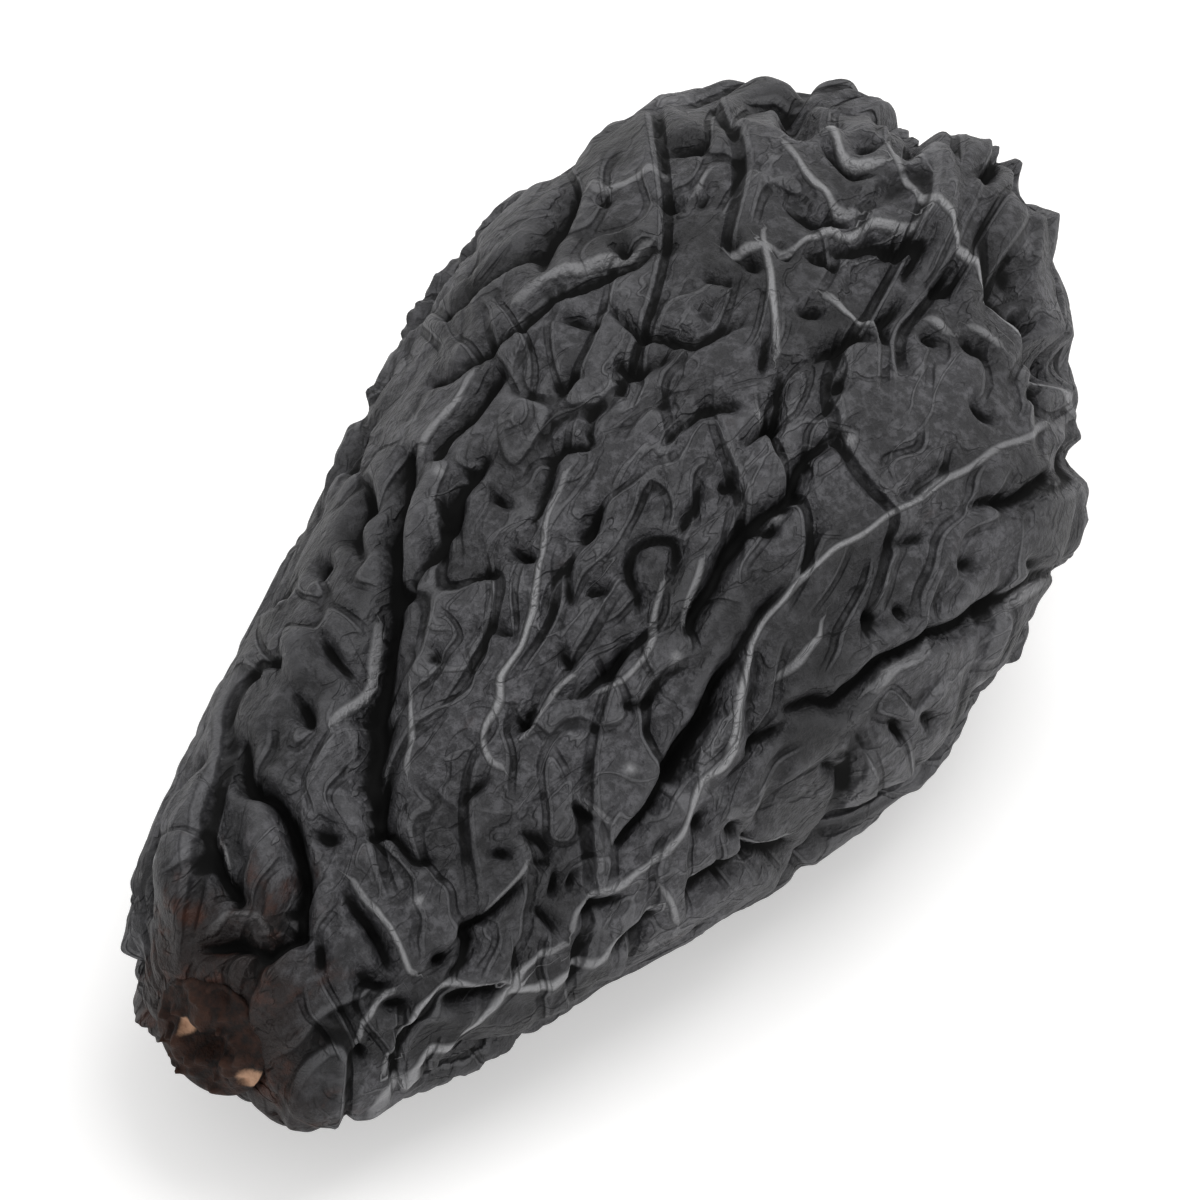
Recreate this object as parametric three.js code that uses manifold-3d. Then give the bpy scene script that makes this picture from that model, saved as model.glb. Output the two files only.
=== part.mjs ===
// One black raisin: a long dried grape lying on its flatter side, with the torn stub of its stalk.
// Millimetres, +Z up. X runs along the fruit, from the stem end at -X to the blossom end at +X.
// The origin lies on the resting surface, under the middle of the part's box.
import * as THREE from 'three';
import { mergeVertices } from 'three/addons/utils/BufferGeometryUtils.js';
import Module from 'manifold-3d';

// Driving dimensions of the plump form that the skin has shrunk on to
const LENGTH = 23.7;
const WIDTH = 13.1;
const HEIGHT = 9.1;
const FLAT_SPOT_DEPTH = 0.3; // how much of the belly the flat spot takes off
const STEM_WIDTH_SHARE = 0.67; // the stem end's width and height, as shares of the widest
const STEM_HEIGHT_SHARE = 0.66;
const WIDEST_AT = 0.74; // where the taper ends, as shares of the length
const TALLEST_AT = 0.6;
const STEM_BLUNTNESS = 0.56; // 1 is an ellipsoid's end, less is blunter
const BLOSSOM_BLUNTNESS = 0.8;
const SIDE_BLUNTNESS = 0.9;
const SIDEWAYS_BOW = -0.92; // the middle line bows to -Y and slants across the length
const SIDEWAYS_SLANT = 1.84;
const MEAN_RADIUS = 5.25;
const PLUMPNESS = 0.05; // the skin's crests stand this far out of the plump form

// How finely the skin is divided
const SEGMENTS_AROUND = 80;
const SEGMENTS_ALONG = 74;
const CROWDING_AROUND = 0.3; // divisions crowd towards the sketched side
const CROWDED_ANGLE = 120; // degrees
const CROWDING_ALONG = 0.08; // and towards the middle of the length

// The stalk's stub and the hollow that it sits in
const STUB_RADIUS = 1.15;
const STUB_DEPTH = 0.9; // below the lip of the hollow
const STUB_RISE = 0.15; // above it
const STUB_CLEARANCE = 0.12;
const STUB_TILT = 12; // degrees, the scar looks a little upwards
const STUB_SEGMENTS = 28;
const STUB_TUFTS = [ // broken fibres that stand out of the scar, placed across it
  { side: 0.1, up: 0.55, rise: 0.26, width: 0.3 },
  { side: -0.65, up: -0.3, rise: 0.3, width: 0.3 },
  { side: 0.45, up: -0.4, rise: 0.14, width: 0.36 },
  { side: -0.1, up: -0.1, rise: -0.3, width: 0.3 },
];
const LIP_RADIUS = 1.8; // the puckered lip around the hollow
const LIP_HEIGHT = 0.12;
const LIP_WIDTH = 0.45;
const LIP_PUCKERS = [4, 7]; // two counts together, so that the gathers are uneven
const DIMPLE_RADIUS = 1.3; // the blossom's scar at the other end
const DIMPLE_DEPTH = 0.45;

// The view that the long folds are sketched in: the eye's turn about Z and its height, in degrees
const SKETCH_TURN = -54;
const SKETCH_TILT = 45;
const SKETCH_REACH = [-0.2, 0.15]; // folds fade out where the skin turns away from the eye

// Long folds of the skin, each a smooth line through [right, up] mm in that view, from the point
// of the resting surface under the middle of the length. A rise below zero is a furrow.
const FOLDS = [
  { name: 'long S ridge', rise: 0.4, width: 0.3, line: [[6.6, 4.8], [5.5, 4.1], [4.5, 3.4], [3.7, 2.7],
    [3.1, 1.9], [2.9, 1], [2.6, -0.3], [2.1, -1.2], [1.4, -2.1], [0.3, -2.9]] },
  { name: 'furrow inside the S ridge', rise: -0.65, width: 0.32,
    line: [[3.3, 2.4], [2.8, 1.6], [2.4, 0.6], [1.7, -0.6], [1, -1.6]] },
  { name: 'big furrow of the top', rise: -0.65, width: 0.32,
    line: [[4.4, 5.4], [3.9, 4.6], [3.2, 4], [2.7, 3.4], [2.2, 2.6], [2, 2]] },
  { name: 'rim of the blossom end', rise: 0.4, width: 0.34,
    line: [[5.5, 10.5], [6.3, 9.2], [7.1, 8.2], [7.9, 7.1], [8.6, 5.9]] },
  { name: 'valley past the rim', rise: -0.6, width: 0.4, line: [[7, 9.6], [7.5, 8.2], [8.1, 7.1]] },
  { name: 'shelf furrow', rise: -0.55, width: 0.32,
    line: [[8.1, 3.1], [7.1, 2.4], [6.1, 1.9], [5.2, 1.4], [4.6, 0.8], [3.6, 0.3], [3.1, 0.1]] },
  { name: 'gully', rise: -1.1, width: 0.45,
    line: [[-2.8, 5.2], [-3.1, 3.7], [-3.1, 2.6], [-3.3, 1.7], [-3.4, 0.6], [-3.4, -0.5], [-3.3, -1.2]] },
  { name: 'lip of the gully', rise: 0.3, width: 0.3, line: [[-2.7, 1.2], [-2.7, 0.4], [-2.8, -0.5]] },
  { name: 'slanting furrow', rise: -0.5, width: 0.3, line: [[-2.4, 6.6], [-1, 7.3], [0.1, 8.1], [1.8, 8.8]] },
  { name: 'upper slanting furrow', rise: -0.5, width: 0.3,
    line: [[-2.4, 7.7], [-1.3, 8.3], [-0.5, 8.8], [0, 9.8]] },
  { name: 'shoulder furrow', rise: -0.55, width: 0.3, line: [[-2.5, 5.1], [-2, 5.7], [-1.3, 6.6]] },
  { name: 'star ridge', rise: 0.35, width: 0.3, line: [[3.4, 8.7], [3.5, 7.4], [3.6, 6.7]] },
  { name: 'cross ridge', rise: 0.3, width: 0.3, line: [[4.1, 8.8], [5.1, 9.1], [6.1, 9.1]] },
  { name: 'hollow of the star', rise: -0.4, width: 0.32, line: [[4.5, 8.6], [5.3, 8.8], [6, 8.6]] },
  { name: 'upper rim ridge', rise: 0.3, width: 0.3, line: [[3.7, 10.4], [4.3, 9.8], [5, 9.4]] },
  { name: 'top ridge', rise: 0.35, width: 0.3,
    line: [[-0.1, 4.6], [-0.4, 3.6], [-0.7, 2.2], [-1.2, 1.1], [-1.4, 0.1], [-1.2, -0.4]] },
  { name: 'zigzag furrow', rise: -0.4, width: 0.3,
    line: [[0.8, 6.7], [0.4, 6], [0.3, 5.4], [-0.2, 5.1], [-0.5, 4.2], [-0.8, 3.7]] },
  { name: 'wavy furrow', rise: -0.4, width: 0.3, line: [[0.7, 7.6], [1.6, 7.2], [2.4, 7.2], [3, 7.5]] },
  { name: 'short furrow of the end', rise: -0.45, width: 0.3, line: [[5.7, 8], [5.5, 7.4], [5.4, 6.8]] },
  { name: 'arc of the top', rise: -0.4, width: 0.3,
    line: [[1.2, 2.3], [1, 3], [1.3, 3.6], [1.8, 3.5], [1.8, 3]] },
  { name: 'near edge ridge', rise: 0.4, width: 0.32,
    line: [[1.5, -2.9], [0.5, -3.6], [-0.4, -4.1], [-1.5, -4.7], [-2.5, -5.4], [-3.5, -6], [-4.4, -6.4]] },
  { name: 'lower arc', rise: 0.3, width: 0.3, line: [[-1, -4.1], [-2, -4.1], [-2.7, -4.8], [-3.2, -5.6]] },
  { name: 'furrow of the lower arc', rise: -0.4, width: 0.3,
    line: [[-1.1, -4.4], [-1.6, -4.4], [-2.3, -4.8]] },
  { name: 'furrow under the edge', rise: -0.6, width: 0.35, line: [[4, -1.9], [3, -2.1], [2.2, -2.5]] },
  { name: 'edge of the smooth plate', rise: 0.3, width: 0.3,
    line: [[-3.8, -2.3], [-3.2, -2.9], [-2.6, -3.8]] },
  { name: 'foot of the plate', rise: -0.45, width: 0.32, line: [[-4, -2.7], [-3.5, -3.2], [-3.3, -4.1]] },
  { name: 'furrow behind the plate', rise: -0.4, width: 0.3,
    line: [[-0.7, -2.2], [-1.4, -2.9], [-1.7, -3.3], [-1.8, -3.9]] },
  { name: 'furrow over the plate', rise: -0.4, width: 0.3, line: [[-3.5, -1.4], [-2.9, -1.7], [-2.4, -1.9]] },
  { name: 'furrow beside the stem lobe', rise: -0.7, width: 0.32,
    line: [[-5.6, 0.1], [-5.2, -0.9], [-4.7, -1.7], [-4.6, -2.7], [-5.1, -3.5]] },
  { name: 'gap between the stem lobes', rise: -0.45, width: 0.3,
    line: [[-6.2, -1.5], [-6.1, -2.1], [-5.6, -2.8]] },
  { name: 'furrow over the scar', rise: -0.5, width: 0.32, line: [[-6.4, -3.5], [-5.8, -3.4], [-5.2, -3.6]] },
  { name: 'furrow of the far wall', rise: -0.5, width: 0.35, line: [[-3.7, 4.7], [-3.8, 3.9], [-3.7, 3.4]] },
  { name: 'upper end notch', rise: -0.6, width: 0.4, line: [[3.8, 10.8], [4.1, 11.3]] },
  { name: 'end notch', rise: -0.6, width: 0.4, line: [[5.7, 10.4], [6, 11]] },
  { name: 'far side notch', rise: -0.5, width: 0.4, line: [[7.6, 9.3], [8.2, 9.8]] },
  { name: 'side notch', rise: -0.9, width: 0.45, line: [[8.1, 6.6], [8.8, 6.9]] },
];
const FOLD_STEPS = 24;

// Broad swellings and hollows in the same view; half sizes right and up.
const SWELLS = [
  { name: 'stem lobe', rise: 0.35, at: [-5.2, -2.1], half: [0.55, 1.3] },
  { name: 'outer stem lobe', rise: 0.35, at: [-6.6, -1.8], half: [0.6, 1.6] },
  { name: 'smooth plate', rise: 0.25, at: [-2.6, -2.9], half: [1, 1.1] },
  { name: 'corner of the end', rise: 0.6, at: [7.4, 9.8], half: [1.6, 1.7] },
  { name: 'side of the end', rise: 0.3, at: [8.2, 4.2], half: [1.2, 1.6] },
  { name: 'far shoulder', rise: 0.2, at: [-1.4, 8.4], half: [1.8, 2.2] },
  { name: 'sunk tip', rise: -0.5, at: [3.8, 11.6], half: [2.4, 0.9] },
  { name: 'sunk flank', rise: -0.4, at: [4.8, -1.5], half: [2, 1.2] },
  { name: 'sunk corner of the stem', rise: -0.4, at: [-7.4, -3.9], half: [1, 1.6] },
  { name: 'sunk flank by the stem', rise: -0.4, at: [-2.2, -5.6], half: [1.8, 0.9] },
  { name: 'valley below the S ridge', rise: -0.3, at: [5.6, 2.9], half: [1.7, 0.9] },
  { name: 'bowl inside the rim', rise: -0.3, at: [5.6, 8.1], half: [1, 0.9] },
];

// Wrinkles that cover the whole skin: each layer is a band of seeded waves round and along the fruit,
// with a crease wherever the waves cancel. Spacing is the mean gap between creases.
const WRINKLE_LAYERS = [
  { seed: 11, spacing: 2.3, depth: 0.55, sharpness: 0.85, sketchedShare: 0.2 },
  { seed: 29, spacing: 1.2, depth: 0.1, sharpness: 0.95, sketchedShare: 0.5 },
];
const WAVES_PER_LAYER = 16;
const WAVE_SLANT = 1.15; // radians, the most that a wave leans away from running along the fruit
const DRIFT = { seed: 5, spacing: 4.6, slant: 2.2, along: 0.55, around: 0.1 }; // bends the wrinkles
const DENTS = { seed: 17, spacing: 6.5, slant: 2.2, height: 0.2 }; // sags the whole form
const SMOOTH_BELLY_BELOW = 1.6; // wrinkles fade under this height, where the fruit lay on its tray

const smooth = THREE.MathUtils.smoothstep;
const { degToRad, lerp } = THREE.MathUtils;

const wasm = await Module();
wasm.setup();

// A repeatable stream of numbers from 0 to 1.
function seededDraw(seed) {
  let state = seed;
  return () => {
    state = (Math.imul(state, 1664525) + 1013904223) >>> 0;
    return state / 2 ** 32;
  };
}

// Waves of one spacing in many directions, as a smooth value of about -1 to 1 over the skin.
function waveField({ seed, spacing, slant = WAVE_SLANT }) {
  const draw = seededDraw(seed);
  const waveNumber = Math.PI / spacing;
  const waves = Array.from({ length: WAVES_PER_LAYER }, () => {
    const lean = slant * (draw() + draw() - 1);
    return {
      around: Math.round(MEAN_RADIUS * waveNumber * Math.cos(lean)),
      along: waveNumber * Math.sin(lean),
      phase: 2 * Math.PI * draw(),
    };
  });
  const size = Math.sqrt(2 / WAVES_PER_LAYER);
  return (x, angle) => size * waves.reduce(
    (sum, w) => sum + Math.cos(w.around * angle + w.along * x + w.phase), 0);
}

// The smooth form. Polar runs from 0 at the stem to PI at the blossom, angle goes round the fruit.
function plumpPoint(polar, angle) {
  const share = (1 - Math.cos(polar)) / 2;
  const end = Math.sin(polar) ** lerp(STEM_BLUNTNESS, BLOSSOM_BLUNTNESS, share);
  const halfWidth = WIDTH / 2 * end * lerp(STEM_WIDTH_SHARE, 1, smooth(share, 0, WIDEST_AT));
  const tallness = smooth(share, 0, TALLEST_AT);
  const halfHeight = HEIGHT / 2 * end * lerp(STEM_HEIGHT_SHARE, 1, tallness);
  const middle = HEIGHT / 2 * lerp(STEM_HEIGHT_SHARE + 0.1, 1, tallness) - FLAT_SPOT_DEPTH;
  const blunt = (value) => Math.sign(value) * Math.abs(value) ** SIDE_BLUNTNESS;
  return new THREE.Vector3(
    LENGTH * (share - 0.5),
    halfWidth * blunt(Math.cos(angle)) + SIDEWAYS_BOW * Math.sin(Math.PI * share)
      + SIDEWAYS_SLANT * (share - 0.5),
    middle + halfHeight * blunt(Math.sin(angle)));
}

// The direction out of the smooth form.
function plumpNormal(polar, angle) {
  const step = 1e-3;
  if (Math.sin(polar) < 2 * step) return new THREE.Vector3(-Math.sign(Math.cos(polar)), 0, 0);
  const along = plumpPoint(polar + step, angle).sub(plumpPoint(polar - step, angle));
  const around = plumpPoint(polar, angle + step).sub(plumpPoint(polar, angle - step));
  return along.cross(around).normalize().negate();
}

// The sketch's directions: to the right, up and towards the eye.
const sketchRight = new THREE.Vector3(1, 0, 0);
const sketchUp = new THREE.Vector3(0, 0, 1);
const sketchEye = new THREE.Vector3(0, -1, 0);
const sketchTurn = new THREE.Euler(degToRad(-SKETCH_TILT), 0, degToRad(SKETCH_TURN), 'ZYX');
[sketchRight, sketchUp, sketchEye].forEach((direction) => direction.applyEuler(sketchTurn));

// Each fold as a run of short steps along its line.
const foldRuns = FOLDS.map(({ line, rise, width }) => {
  const knots = line.map(([right, up]) => new THREE.Vector3(right, up, 0));
  return { rise, width, points: new THREE.CatmullRomCurve3(knots).getPoints(FOLD_STEPS) };
});

// Height that the folds and swellings add at a place of the sketch.
function sketchedHeight(right, up) {
  let height = 0;
  for (const { rise, width, points } of foldRuns) {
    let nearest = Infinity;
    let at = 0;
    points.forEach((point, i) => {
      const gap = Math.hypot(right - point.x, up - point.y);
      if (gap < nearest) [nearest, at] = [gap, i / FOLD_STEPS];
    });
    const fade = Math.sqrt(Math.sin(Math.PI * lerp(0.08, 0.92, at)));
    height += rise * fade * Math.exp(-((nearest / width) ** 2));
  }
  for (const { rise, at, half } of SWELLS) {
    const reach = Math.hypot((right - at[0]) / half[0], (up - at[1]) / half[1]);
    height += rise * Math.max(0, 1 - reach ** 2);
  }
  return height;
}

const layers = WRINKLE_LAYERS.map((layer) => ({ ...layer, field: waveField(layer) }));
const driftAlong = waveField(DRIFT);
const driftAround = waveField({ ...DRIFT, seed: DRIFT.seed + 1 });
const dents = waveField(DENTS);
const strength = waveField({ ...DENTS, seed: DENTS.seed + 1 });

// Height of the skin over the smooth form: sags, long folds and creases, easing off at the two ends.
function skinHeight(point, normal, polar, angle) {
  const x = point.x;
  const ends = smooth(Math.sin(polar), 0.05, 0.5);
  const belly = smooth(point.z, 0, SMOOTH_BELLY_BELOW);
  const sketched = smooth(normal.dot(sketchEye), ...SKETCH_REACH);
  const bentX = x + DRIFT.along * driftAlong(x, angle);
  const bentAngle = angle + DRIFT.around * driftAround(x, angle);
  const patchy = lerp(0.45, 1, smooth(strength(x, angle), -0.8, 0.6));
  let height = PLUMPNESS + DENTS.height * dents(x, angle) * ends * belly;
  for (const { field, depth, sharpness, sketchedShare } of layers) {
    const crease = 1 - smooth(Math.abs(field(bentX, bentAngle)), 0, sharpness);
    height -= depth * patchy * crease * ends * lerp(0.25, 1, belly) * lerp(1, sketchedShare, sketched);
  }
  return height + sketched * sketchedHeight(point.dot(sketchRight), point.dot(sketchUp)) * ends;
}

// The lip around the stem's hollow, gathered into puckers, and the blossom's dimple.
function endHeight(point, angle) {
  const atStem = point.x < 0;
  const tip = plumpPoint(atStem ? 0 : Math.PI, 0);
  const reach = Math.hypot(point.y - tip.y, point.z - tip.z);
  if (!atStem) return -DIMPLE_DEPTH * Math.exp(-((reach / DIMPLE_RADIUS) ** 2));
  const gather = LIP_PUCKERS.reduce((sum, count) => sum + 0.4 * Math.cos(count * angle + count), 1);
  return LIP_HEIGHT * gather * Math.exp(-(((reach - LIP_RADIUS) / LIP_WIDTH) ** 2));
}

// A closed geometry as a solid, and back.
function toSolid(geometry) {
  const bare = geometry.clone();
  bare.deleteAttribute('normal');
  bare.deleteAttribute('uv');
  const merged = mergeVertices(bare, 1e-4);
  return new wasm.Manifold(new wasm.Mesh({
    numProp: 3,
    vertProperties: merged.attributes.position.array,
    triVerts: new Uint32Array(merged.index.array),
  }));
}

function toGeometry(solid) {
  const { vertProperties, triVerts } = solid.getMesh();
  const geometry = new THREE.BufferGeometry();
  geometry.setAttribute('position', new THREE.BufferAttribute(vertProperties, 3));
  geometry.setIndex(new THREE.BufferAttribute(triVerts, 1));
  return geometry;
}

// Turns a shape made along +Y to look out of the stem end, at the stem's place.
function placeAtStem(geometry) {
  const stem = plumpPoint(0, 0);
  geometry.rotateZ(Math.PI / 2);
  geometry.rotateY(degToRad(STUB_TILT));
  return geometry.translate(stem.x, stem.y, stem.z);
}

// A round plug from the profile below the lip and the one above it, as [radius, height] pairs.
function turnedPlug(margin, upper) {
  const radius = STUB_RADIUS + margin;
  const bottom = -STUB_DEPTH - margin;
  const lower = [[0, bottom], [radius * 0.6, bottom], [radius, bottom / 2]];
  const profile = [...lower, ...upper].map(([r, height]) => new THREE.Vector2(r, height));
  return new THREE.LatheGeometry(profile, STUB_SEGMENTS);
}

// The stub: a low crown of torn fibres over the plug.
function makeStub() {
  const rings = [1, 0.92, 0.76, 0.58, 0.38, 0.18, 0];
  const crown = rings.map((share) => [STUB_RADIUS * share, STUB_RISE * (1 - share ** 4)]);
  const stub = turnedPlug(0, crown);
  const position = stub.attributes.position;
  for (let i = 0; i < position.count; i++) {
    const height = position.getY(i);
    if (height < 0) continue;
    const [side, up] = [position.getX(i), position.getZ(i)];
    const torn = STUB_TUFTS.reduce((sum, tuft) => {
      const gap = Math.hypot(side - tuft.side, up - tuft.up);
      return sum + tuft.rise * Math.exp(-((gap / tuft.width) ** 2));
    }, 0);
    const inside = 1 - (Math.hypot(side, up) / STUB_RADIUS) ** 6;
    position.setY(i, height + torn * inside);
  }
  return placeAtStem(stub);
}

function makeHollow() {
  const radius = STUB_RADIUS + STUB_CLEARANCE;
  return placeAtStem(turnedPlug(STUB_CLEARANCE, [[radius, LENGTH / 8], [0, LENGTH / 8]]));
}

function makeFruit() {
  const skin = new THREE.SphereGeometry(1, SEGMENTS_AROUND, SEGMENTS_ALONG);
  const position = skin.attributes.position;
  const direction = new THREE.Vector3();
  for (let i = 0; i < position.count; i++) {
    direction.fromBufferAttribute(position, i);
    const evenPolar = Math.acos(THREE.MathUtils.clamp(-direction.y, -1, 1));
    const polar = evenPolar + CROWDING_ALONG * Math.sin(2 * evenPolar);
    const evenAngle = Math.atan2(direction.z, -direction.x);
    const angle = evenAngle - CROWDING_AROUND * Math.sin(evenAngle - degToRad(CROWDED_ANGLE));
    const point = plumpPoint(polar, angle);
    const normal = plumpNormal(polar, angle);
    const height = skinHeight(point, normal, polar, angle) + endHeight(point, angle);
    point.addScaledVector(normal, height);
    position.setXYZ(i, point.x, point.y, point.z);
  }
  const surface = new THREE.BoxGeometry(2 * LENGTH, 2 * LENGTH, LENGTH).translate(0, 0, -LENGTH / 2);
  return toGeometry(toSolid(skin).subtract(toSolid(surface)).subtract(toSolid(makeHollow())));
}

function node(name, geometry, material) {
  const mesh = new THREE.Mesh(geometry, material);
  mesh.name = name;
  return mesh;
}

const driedSkin = new THREE.MeshStandardMaterial({ color: 0x1c1c1f, roughness: 0.6, metalness: 0 });
const tornWood = new THREE.MeshStandardMaterial({ color: 0x6a4128, roughness: 0.85, metalness: 0 });

const raisin = new THREE.Group();
raisin.add(node('raisin', makeFruit(), driedSkin));
raisin.add(node('stem_stub', makeStub(), tornWood));

// Bring the middle of the part's box over the origin.
const box = new THREE.Box3().setFromObject(raisin);
const middle = box.getCenter(new THREE.Vector3());
raisin.children.forEach((mesh) => mesh.geometry.translate(-middle.x, -middle.y, 0));

export default raisin;
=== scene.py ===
import math

import bpy
import numpy as np
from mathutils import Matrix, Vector


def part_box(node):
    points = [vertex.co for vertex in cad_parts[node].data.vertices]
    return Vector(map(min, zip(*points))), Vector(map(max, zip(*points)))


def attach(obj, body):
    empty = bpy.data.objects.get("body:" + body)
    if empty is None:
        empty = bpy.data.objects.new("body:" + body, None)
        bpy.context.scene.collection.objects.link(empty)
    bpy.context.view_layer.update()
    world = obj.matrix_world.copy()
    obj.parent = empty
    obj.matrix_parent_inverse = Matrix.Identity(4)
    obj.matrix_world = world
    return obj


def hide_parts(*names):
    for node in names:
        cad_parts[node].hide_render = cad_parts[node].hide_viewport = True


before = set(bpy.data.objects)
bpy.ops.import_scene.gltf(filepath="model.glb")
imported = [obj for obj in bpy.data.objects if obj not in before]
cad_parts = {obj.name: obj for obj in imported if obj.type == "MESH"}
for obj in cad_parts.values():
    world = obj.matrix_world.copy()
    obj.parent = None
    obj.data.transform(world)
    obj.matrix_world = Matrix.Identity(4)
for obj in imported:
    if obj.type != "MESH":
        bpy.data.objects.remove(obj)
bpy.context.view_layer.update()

mm = 0.001

print("stage 1: helpers")


def smooth(value, low, high):
    t = np.clip((value - low) / (high - low), 0, 1)
    return t * t * (3 - 2 * t)


def mixed(low, high, share):
    return low + (high - low) * share


def seededDraw(seed):  # the same stream as the solid's, so the creases fall in the same places
    state = seed
    while True:
        state = (state * 1664525 + 1013904223) % 2 ** 32
        yield state / 2 ** 32


def waveField(seed, spacing, slant, asGap=False, waves=16, radius=5.25):
    draw = seededDraw(seed)
    waveNumber = math.pi / spacing
    made = []
    for _ in range(waves):
        lean = slant * (next(draw) + next(draw) - 1)
        around = math.floor(radius * waveNumber * math.cos(lean) + 0.5)
        made.append((around, waveNumber * math.sin(lean), 2 * math.pi * next(draw)))

    def field(x, angle):
        total = sum(np.cos(around * angle + along * x + phase) for around, along, phase in made)
        return math.sqrt(2 / waves) * total

    def gap(x, angle):  # mm to the nearest place where the waves cancel, signed
        turns = [around * angle + along * x + phase for around, along, phase in made]
        slopeX = sum(along * np.sin(t) for (_, along, _), t in zip(made, turns))
        slopeY = sum(around / radius * np.sin(t) for (around, _, _), t in zip(made, turns))
        return sum(np.cos(t) for t in turns) / np.maximum(np.hypot(slopeX, slopeY), waveNumber)

    return gap if asGap else field


def flowField(seed, spacing, flow, spread, asGap=False, waves=16):  # the same on a sketch, along a flow
    draw = seededDraw(seed)
    made = []
    for _ in range(waves):
        lean = math.radians(flow + 90 + spread * (next(draw) + next(draw) - 1))
        waveNumber = math.pi / spacing * mixed(0.75, 1.25, next(draw))
        made.append((waveNumber * math.cos(lean), waveNumber * math.sin(lean), 2 * math.pi * next(draw)))

    def field(flat):
        total = sum(np.cos(flat @ np.array([across, up]) + phase) for across, up, phase in made)
        return math.sqrt(2 / waves) * total

    def gap(flat):
        turns = [flat @ np.array([across, up]) + phase for across, up, phase in made]
        slopes = [sum(wave[i] * np.sin(t) for wave, t in zip(made, turns)) for i in (0, 1)]
        return sum(np.cos(t) for t in turns) / np.maximum(np.hypot(*slopes), math.pi / spacing)

    return gap if asGap else field


def smoothLine(knots, steps):  # a Catmull-Rom line through the knots
    points = np.array(knots, float)
    padded = np.vstack([2 * points[0] - points[1], points, 2 * points[-1] - points[-2]])
    found = []
    for share in np.linspace(0, len(points) - 1, steps):
        i = min(int(share), len(points) - 2)
        t = share - i
        a, b, c, d = padded[i:i + 4]
        found.append(0.5 * (2 * b + (c - a) * t + (2 * a - 5 * b + 4 * c - d) * t ** 2
                            + (3 * b - a - 3 * c + d) * t ** 3))
    return np.array(found)


print("stage 2: the dried skin")
raisin = {
    "length": 23.7, "width": 13.1, "height": 9.1, "flatSpot": 0.3,  # mm, the plump form under the skin
    "stemWidth": 0.67, "stemHeight": 0.66, "widestAt": 0.74, "tallestAt": 0.6,
    "stemBluntness": 0.56, "tipBluntness": 0.8, "sideBluntness": 0.9, "bow": -0.92, "slantY": 1.84,
    "segments": 240, "rings": 380,
    "crowding": 0.45, "crowdAt": 120, "crowdAlong": 0.12,  # finer where it shows
    "azimuth": -54, "elevation": 45,  # the folds that show are sketched from here
    "sketchReach": (-0.2, 0.15), "lineReach": (0.06, 0.3),
    "waveSlant": 1.0,
    "layers": [  # seed, spacing, trough, step, crack, its width, share left on the sketched side
        (11, 2.3, 0.3, 0.1, 0.3, 0.2, 0.2),
        (29, 1.2, 0.08, 0.06, 0.2, 0.16, 0.0),
        (53, 0.75, 0.0, 0.03, 0.1, 0.13, 0.0),
    ],
    "sketchedLayers": [  # seed, spacing, flow, spread, step, crack and its width
        (71, 1.05, 66, 50, 0.08, 0.18, 0.12),
        (83, 0.6, 62, 75, 0.04, 0.1, 0.1),
    ],
    "wobble": {"seed": 41, "spacing": 0.5, "reach": 0.025},
    "drift": {"seed": 5, "spacing": 4.6, "slant": 2.2, "along": 0.55, "around": 0.1},
    "dents": {"seed": 17, "spacing": 6.5, "slant": 2.2, "height": 0.2},
    "plump": 0.05, "bellyBelow": 1.6,
    "hollowRadius": 0.95, "hollowDepth": 0.4, "lipRadius": 1.8, "lipHeight": 0.12, "lipWidth": 0.45,
    "dimpleRadius": 1.3, "dimpleDepth": 0.45,
}
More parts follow.
